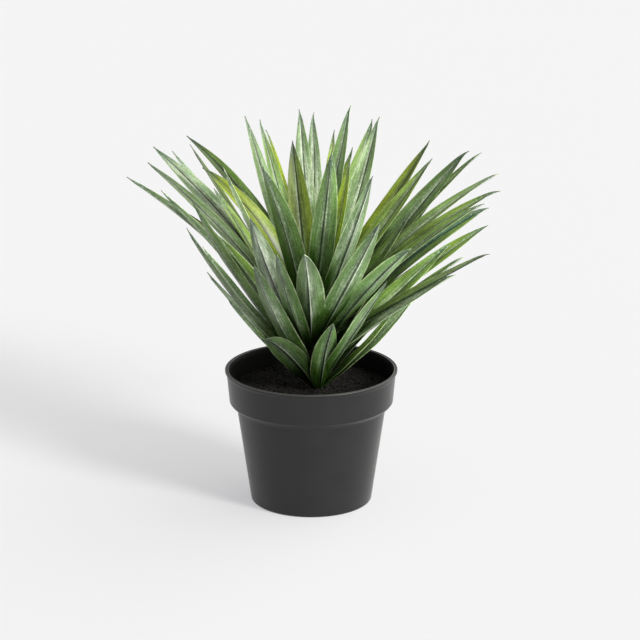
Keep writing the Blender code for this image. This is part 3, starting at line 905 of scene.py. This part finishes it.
def blade_grid(leaves, rows, across, seed):
    """Points of closed rings along each leaf, as an array (leaf, row, ring point, xyz).

    Path: root plus the running sum of short steps whose rise falls by the droop and whose bearing turns
    by the sweep. Past the start of the hook both turn further, by the square of how far past it they are.
    The lowest roots follow the stem's lean, by the square of what is left of the length.
    Section at q from -1 to 1: q times the half width to the side, and |q| times it upwards by the fold,
    and a fullness of 4 |q| (1 - |q|), plus a wave of q squared along the edges. The underside lies below
    by a thickness that is largest at q = 0, where a keel stands out.
    """
    facts = np.array(leaves, float).T[:, :, None]
    height, bearing, rise, length, width, droop, roll, sweep = facts
    bearing, rise, droop, roll, sweep = (np.radians(value) for value in (bearing, rise, droop, roll, sweep))
    draw = np.random.default_rng(seed).random((4, len(leaves), 1, 1))
    share = shares(rows)[None, :]
    middle = (share[:, 1:] + share[:, :-1]) / 2
    hook_side = HOOK_SIDE * (2 * draw[3][..., 0] - 1)
    hook_down = HOOK_DOWN * (7 * draw[3][..., 0] % 1) * (1 + np.cos(bearing)) / 2

    def angles(place):
        """The bearing and the rise at these shares of the length."""
        hook = np.clip((place - HOOK_FROM) / (1 - HOOK_FROM), 0, 1) ** 2
        return bearing + sweep * place + hook_side * hook, rise - droop * place - hook_down * hook

    step = (length * MM * np.diff(share))[..., None] * directions(*angles(middle))
    up_stem = np.clip((height * MM - ROOT_LOW_Z) / (ROOT_HIGH_Z - ROOT_LOW_Z), 0, 1)
    root_radius = ROOT_RADIUS_LOW + (ROOT_RADIUS_HIGH - ROOT_RADIUS_LOW) * up_stem
    root_way = np.stack([np.cos(bearing), np.sin(bearing)], -1)
    root = np.concatenate([root_radius[..., None] * root_way, height[..., None] * MM], -1)
    path = np.concatenate([root, root + np.cumsum(step, axis=1)], axis=1)
    pull = lean_share(height * MM)[..., None] * (FOOT_OFF_AXIS - GATHER * root_way)
    path[..., :2] += pull * ((1 - share) ** 2)[..., None]

    turn, climb = angles(share)
    along = directions(turn, climb)
    side = np.stack([-np.sin(turn), np.cos(turn), np.zeros_like(turn)], -1)
    normal = np.cross(along, side)
    tilt = (roll * (ROLL_AT_ROOT + (1 - ROLL_AT_ROOT) * share))[..., None]
    sideways = (side * np.cos(tilt) + normal * np.sin(tilt))[:, :, None, :]
    upward = (-side * np.sin(tilt) + normal * np.cos(tilt))[:, :, None, :]

    half = half_width(share, width * MM)[..., None]
    q = across[None, None, :]
    size = np.abs(q)
    phase = 2 * math.pi * (draw[0] + 0.25 * np.sign(q) * draw[1])
    waves = WAVES_LEAST + WAVES_MORE * draw[2]
    wave = WAVE * q**2 * np.sin(2 * math.pi * waves * share[..., None] + phase)
    lift = half * (size * math.sin(FOLD) + FULLNESS * 4 * size * (1 - size) + wave)
    keel = KEEL_RISE * np.exp(-((q * half / KEEL_WIDTH) ** 2))
    thick = EDGE_THICKNESS + (KEEL_THICKNESS - EDGE_THICKNESS) * (1 - q**2) + keel
    thick = np.minimum(thick, THICKEST_SHARE * half)
    spread = (q * half * math.cos(FOLD))[..., None]
    upper = path[:, :, None, :] + spread * sideways + lift[..., None] * upward
    under = upper - thick[..., None] * upward
    return np.concatenate([upper, under[:, :, ::-1]], axis=2)


def point_values(obj, name, kind, key, values):
    """Store an array on the points of a mesh under this name."""
    layer = obj.data.attributes.new(name, kind, "POINT")
    layer.data.foreach_set(key, values.astype(np.float32).ravel())


def blades(name, leaves, finishes, rows, across, seed):
    """One object that holds all these leaves, each a closed blade with its marks as attributes.

    The UV map runs across the blade from 0 to 1 and along it from root to tip. The attribute "place"
    is the same in metres, moved far apart for each leaf, so that no two leaves share their blotches.
    """
    grid = blade_grid(leaves, rows, across, seed)
    count, _, ring, _ = grid.shape
    columns = len(across)
    points = grid.reshape(-1, 3)
    sides = grid_faces(rows, ring, True)
    column = np.arange(columns - 1)
    cap = np.stack([column, column + 1, ring - 2 - column, ring - 1 - column], -1)
    ends = np.vstack([cap[:, ::-1], cap + (rows - 1) * ring])
    one_leaf = np.vstack([sides, ends])
    faces = (one_leaf[None] + (rows * ring * np.arange(count))[:, None, None]).reshape(-1, 4)
    faces = outward(points, faces)
    obj = mesh_object(name, points, faces, leaf_sides)

    slots = np.ones(len(one_leaf), np.int32)
    slots[: len(sides)][np.arange(len(sides)) % ring < columns - 1] = 0
    obj.data.polygons.foreach_set("material_index", np.tile(slots, count))

    u = np.concatenate([across, across[::-1]]) / 2 + 0.5
    u = np.broadcast_to(u, (count, rows, ring))
    v = np.broadcast_to(shares(rows)[None, :, None], (count, rows, ring))
    corner = np.empty(len(obj.data.loops), np.int32)
    obj.data.loops.foreach_get("vertex_index", corner)
    layer = obj.data.uv_layers.new(name="blade")
    layer.data.foreach_set("uv", np.stack([u.ravel(), v.ravel()], -1)[corner].astype(np.float32).ravel())

    facts = np.array(leaves, float)
    number = np.arange(count)[:, None, None]
    length, width = facts[:, 3, None, None] * MM, facts[:, 4, None, None] * MM
    place = np.stack(np.broadcast_arrays(u * width, v * length, LEAF_APART * number), -1)
    point_values(obj, "place", "FLOAT_VECTOR", "vector", place)
    for mark, values in zip(MARKS, np.array(finishes, float).T / 10):
        spread = np.broadcast_to(values[:, None, None], (count, rows, ring))
        point_values(obj, mark, "FLOAT", "value", spread)
    obj.data.update()
    print(name + ":", count, "blades,", 2 * len(faces), "triangles")
    return obj


# %% [markdown]
# ### The marks on a blade
# Each blade is a clear green, and was then dabbed with paint. A slate grey stripe follows the midrib,
# broken by chalky flecks, and it gets stronger towards the tip, which ends in deep blue-green. The midrib
# is a fine pale line, partly chalk and partly painted highlight on the keel, with a painted shadow against
# it. The edges are thin and bright, partly their own lime and partly painted highlight. The foot is a
# deeper and yellower green and is painted darker still as painted shade, and the blade is painted lighter
# towards its tip. Broad chalky dabs are partly bloom and partly painted highlight of the wax's sheen. All
# of this follows the leaf, so it is driven by the blade's own map. The upper and under sides take the
# same marks with other colours, so the marks are one node group.

# %% The paints
# Each paint as the 0 to 255 values of a screen, on the upper side of a leaf and on the under side.
PAINTS = {
    "Body": ((87, 119, 54), (86, 117, 60)),
    "Lime": ((156, 176, 44), (146, 168, 54)),
    "Haze": ((118, 138, 108), (118, 134, 110)),
    "Slate": ((90, 100, 84), (92, 104, 86)),
    "Chalk": ((182, 188, 170), (186, 192, 176)),
    "Foot": ((58, 98, 2), (50, 88, 2)),
    "Tip": ((38, 70, 50), (36, 64, 46)),
}
# How much light each side's foot keeps under its painted shade, how well the stripe covers and how much
# the wax shines.
FOOT_PAINTED_SHADE_LIGHTS = (0.30, 0.18)
STRIPE_SHARE = 0.52
LEAF_COAT = 0.50

# %% Where a mark lies on the blade
marks_group, marks_in, marks_out = new_group(
    "blade_marks",
    dict.fromkeys(PAINTS, "colour") | {"Foot light": "value"},
    {"Colour": "colour", "Roughness": "value", "Coat": "value", "Height": "value"},
)


def attribute(name, output="Fac"):
    """What the mesh stores under this name, as a number or, from the output Vector, as three."""
    node = marks_group.nodes.new("ShaderNodeAttribute")
    node.attribute_name = name
    return node.outputs[output]


body, lime, haze_grey, slate_grey, chalk, foot, tip = (marks_in.outputs[name] for name in PAINTS)
blade_map = add(marks_group, "ShaderNodeUVMap")
blade_map.uv_map = "blade"
across_u, along_v = part(blade_map.outputs["UV"], "X"), part(blade_map.outputs["UV"], "Y")
off_middle = calc("MULTIPLY", calc("SUBTRACT", across_u, 0.5), 2.0)
from_middle = calc("ABSOLUTE", off_middle)
tone_mark, lime_mark, bloom_mark = (attribute(name) for name in MARKS)

# %% Patterns of the paint
place = attribute("place", "Vector")


def spots(across, along, detail, roughness=0.5):
    """A noise with so many spots a metre across the blade, and so many along it."""
    return noise(stretched(place, (across, along, 1.0)), 1.0, detail, roughness)


veins = spots(2200.0, 40.0, 3.0)
streaks = spots(750.0, 22.0, 3.0, 0.6)
broad = spots(130.0, 30.0, 2.0)
mottle = spots(430.0, 130.0, 4.0, 0.65)
flecks = spots(900.0, 380.0, 3.0, 0.6)
dashes = spots(330.0, 1100.0, 2.0)

# %% Green under the paint
green = blend(fade(lime_mark, 0.1, 0.95), body, lime)
# The foot turns a deeper, yellower green, partly paint and partly painted shade among the leaf bases.
foot_green_and_shade = fade(shifted(along_v, broad, 0.5), 0.58, 0.16)
haze = times(fade(bloom_mark, 0.4, 1.0, 0.0, 0.70), fade(along_v, 0.15, 0.60))
green = blend(haze, green, haze_grey)
green = blend(foot_green_and_shade, green, foot)
green = blend(fade(broad, 0.50, 0.72, 0.0, 0.55), green, foot)
green = blend(fade(streaks, 0.50, 0.72, 0.0, 0.50), green, foot)
green = blend(fade(veins, 0.45, 0.75, 0.0, 0.15), green, chalk)

# %% Slate and chalk
stripe_body = fade(shifted(shifted(from_middle, mottle, 0.6), streaks, 0.8), 0.68, 0.10)
stripe_grows = fade(shifted(along_v, broad, 0.6), 0.10, 0.60)
less_if_lime = fade(lime_mark, 0.5, 0.9, 1.0, 0.40)
more_if_bare = fade(bloom_mark, 0.15, 0.0, 1.0, 1.9)
stripe = times(stripe_body, stripe_grows, STRIPE_SHARE, less_if_lime, more_if_bare)
pale = shifted(shifted(streaks, mottle, 0.8), bloom_mark, 0.45)
pale = fade(pale, 0.42, 0.72, 0.0, 0.60)
slate = blend(fade(bloom_mark, 0.1, 0.4), tip, slate_grey)
colour = blend(stripe, green, blend(pale, slate, chalk))
less_if_bare = fade(bloom_mark, 0.0, 0.2, 0.25, 1.0)
speck = times(fade(flecks, 0.57, 0.66, 0.0, 0.55), stripe, less_if_bare)
colour = blend(speck, colour, chalk)
# Broad chalky dabs, partly bloom and partly painted highlight of the wax's sheen.
chalk_and_highlight_patch = fade(shifted(broad, bloom_mark, 0.45), 0.64, 0.88, 0.0, 0.55)
chalk_and_highlight_patch = times(chalk_and_highlight_patch, fade(along_v, 0.15, 0.50), fade(mottle, 0.36, 0.60, 0.15, 1.0))
colour = blend(chalk_and_highlight_patch, colour, chalk)
dash = times(fade(dashes, 0.56, 0.66, 0.0, 0.35), fade(from_middle, 0.45, 0.10))
dash = times(dash, fade(along_v, 0.25, 0.60))
colour = blend(dash, colour, tip)
tip_share = fade(shifted(along_v, mottle, 0.20), 0.84, 0.97, 0.0, 0.80)
colour = blend(tip_share, colour, tip)
tip_speck = times(tip_share, fade(flecks, 0.52, 0.62, 0.0, 0.60))
colour = blend(tip_speck, colour, chalk)

# %% Midrib and edges
# The third part of a place tells the leaves apart, so a noise along it is one draw for each leaf. The
# pale rib, partly chalk and partly painted highlight on the keel, is clear on only some of them. A
# painted shadow lies along one side of the keel.
RIB_PAINTED_SHADOW = srgb(20, 38, 22)
LEAF_STEP = 7.3
leaf_draw = noise(stretched(place, (0.0, 0.0, LEAF_STEP)), 1.0, 0.0)
rib_reach = times(fade(along_v, 0.03, 0.2), fade(streaks, 0.32, 0.52, 0.35, 1.0))
rib_chosen = fade(leaf_draw, 0.40, 0.55, 0.25, 1.0)
rib_pale_share = times(rib_reach, fade(bloom_mark, 0.2, 0.8, 0.45, 1.0), rib_chosen)
off_dark = calc("ABSOLUTE", calc("ADD", off_middle, 0.10))
off_light = calc("ABSOLUTE", calc("ADD", off_middle, -0.03))
rib_painted_shadow = times(fade(off_dark, 0.12, 0.01, 0.0, 0.90), rib_reach)
rib_chalk_and_highlight = times(fade(off_light, 0.065, 0.01, 0.0, 0.75), rib_pale_share)
# Painted shadow along one side of the keel, then the keel's pale line of chalk and painted highlight.
colour = blend(rib_painted_shadow, colour, RIB_PAINTED_SHADOW)
colour = blend(rib_chalk_and_highlight, colour, chalk)
# The edges turn a pale lime, partly the plastic's own colour and partly painted highlight where the blade's
# thickness catches the light.
edge_lime_and_highlight = times(fade(from_middle, 0.88, 0.98, 0.0, 0.6), fade(mottle, 0.35, 0.55, 0.2, 1.0))
colour = blend(edge_lime_and_highlight, colour, blend(0.6, lime, chalk))

# %% Light and dark, sheen and relief
# The tone holds painted shade at the foot, lifting to painted light towards the tip, and each leaf's mark.
tone = times(
    fade(tone_mark, 0.0, 1.0, 0.26, 2.10),
    fade(along_v, 0.0, 0.65, marks_in.outputs["Foot light"], 1.30),
    fade(broad, 0.30, 0.70, 0.70, 1.27),
    fade(streaks, 0.30, 0.70, 0.76, 1.24),
    fade(flecks, 0.30, 0.70, 0.78, 1.22),
    fade(veins, 0.30, 0.70, 0.86, 1.14),
    fade(dashes, 0.30, 0.70, 0.92, 1.08),
)
tone = add(marks_group, "ShaderNodeCombineXYZ", X=tone, Y=tone, Z=tone).outputs[0]
colour = blend(1.0, colour, tone, "MULTIPLY")
sheen = times(fade(along_v, 0.15, 0.50), fade(broad, 0.30, 0.65, 0.55, 1.0))
rough = calc("ADD", fade(stripe, 0.0, 0.9, 0.38, 0.46), calc("MULTIPLY", veins, 0.10))
height = calc("ADD", calc("MULTIPLY", veins, 0.4), calc("MULTIPLY", mottle, 0.5))
height = calc("ADD", height, calc("MULTIPLY", dashes, 0.5))
set_inputs(marks_out, Colour=colour, Roughness=rough, Coat=sheen, Height=height)
print("blade marks:", len(marks_group.nodes), "nodes")


# %% Leaf finishes
def leaf_material(name, side):
    """A soft waxy green with the marks of a blade, in the paints of side 0, the upper, or 1, the under."""
    material, shader = new_material(name)
    colours = {paint: srgb(*screens[side]) for paint, screens in PAINTS.items()}
    marks = use_group(shader.id_data, marks_group, Foot_light=FOOT_PAINTED_SHADE_LIGHTS[side], **colours).outputs
    dents = bump(marks["Height"], 0.4, 0.0003)
    set_inputs(shader, Base_Color=marks["Colour"], Roughness=marks["Roughness"], Normal=dents)
    coat = calc("MULTIPLY", marks["Coat"], LEAF_COAT)
    set_inputs(shader, Coat_Weight=coat, Coat_Roughness=0.28, Specular_IOR_Level=0.10)
    return material


leaf_sides = [leaf_material("leaf_upper", 0), leaf_material("leaf_under", 1)]

# %% Grow the leaves
SHOWN_ROWS = 41
SHOWN_WAVE_SEED = 21
HIDDEN_ROWS = 17
HIDDEN_WAVE_SEED = 22
shown = blades("leaves_in_view", SHOWN_LEAVES, SHOWN_FINISHES, SHOWN_ROWS, ACROSS, SHOWN_WAVE_SEED)
behind = hidden_leaves()
plain = [HIDDEN_FINISH] * len(behind)
hidden = blades("leaves_behind", behind, plain, HIDDEN_ROWS, ACROSS[::2], HIDDEN_WAVE_SEED)
for piece in (shown, hidden):
    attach(piece, "root")
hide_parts("yucca")

# %% [markdown]
# ### The stem
# Between the leaf bases a short stem shows here and there, ringed where older leaves left it. It is one
# more outline turned about an axis, with a small ripple down its length, and its foot then leans off the
# pot's middle, where the lowest leaves gather.

# %% Turn the stem
STEM_BURIED_RADIUS = 0.0046
STEM_NECK_RADIUS = 0.0082
STEM_INSET = 0.0004
DOME_INSET = 0.0005
STEM_RINGS = 90
STEM_TURNS = 48
SCAR_DEPTH = 0.00025
SCAR_STEP = 0.0042
dome_z = STEM_TOP_Z - STEM_TOP_RADIUS
stem_height = np.linspace(STEM_FOOT_Z, dome_z, STEM_RINGS)
stem_radius = np.interp(
    stem_height, (LEAN_FROM_Z, LEAN_TO_Z, dome_z), (STEM_BURIED_RADIUS, STEM_NECK_RADIUS, STEM_TOP_RADIUS)
)
stem_radius = stem_radius - STEM_INSET + SCAR_DEPTH * np.sin(2 * math.pi * stem_height / SCAR_STEP)
stem_dome = arc((0.0, dome_z), (STEM_TOP_RADIUS - DOME_INSET, STEM_TOP_RADIUS), 10, 90, 8)
stem_line = np.vstack([[(0.0, STEM_FOOT_Z)], np.stack([stem_radius, stem_height], -1), stem_dome])
stem_line[-1, 0] = 0.0

# %% Its bark
# Its foot is darker, up to a little above the filling.
BARK_DEEP = srgb(12, 17, 7)
BARK_PALE = srgb(26, 34, 12)
BARK_DARK_FOOT = (0.006, 0.0055, 0.005, 1.0)
BARK_DARK_TO_Z = 0.104

bark, bark_shader = new_material("stem_green")
bark_place = object_place(bark_shader)
bark_noise = noise(stretched(bark_place, (300.0, 300.0, 900.0)), 1.0, 3.0)
bark_colour = blend(fade(bark_noise, 0.3, 0.7), BARK_DEEP, BARK_PALE)
bark_above_foot = fade(part(bark_place, "Z"), LEAN_FROM_Z, BARK_DARK_TO_Z)
# Darker at the foot, up to a little above the filling.
bark_colour = blend(bark_above_foot, BARK_DARK_FOOT, bark_colour)
set_inputs(bark_shader, Base_Color=bark_colour, Roughness=0.7, Normal=bump(bark_noise, 0.6, 0.0005))

# %% Stand it in its hole
stem_grid = turned(stem_line, STEM_TURNS)
stem_grid[..., :2] += FOOT_OFF_AXIS * lean_share(stem_grid[..., 2:])
stem = ringed_object("stem", stem_grid, [bark])
close_poles(stem)
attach(stem, "root")
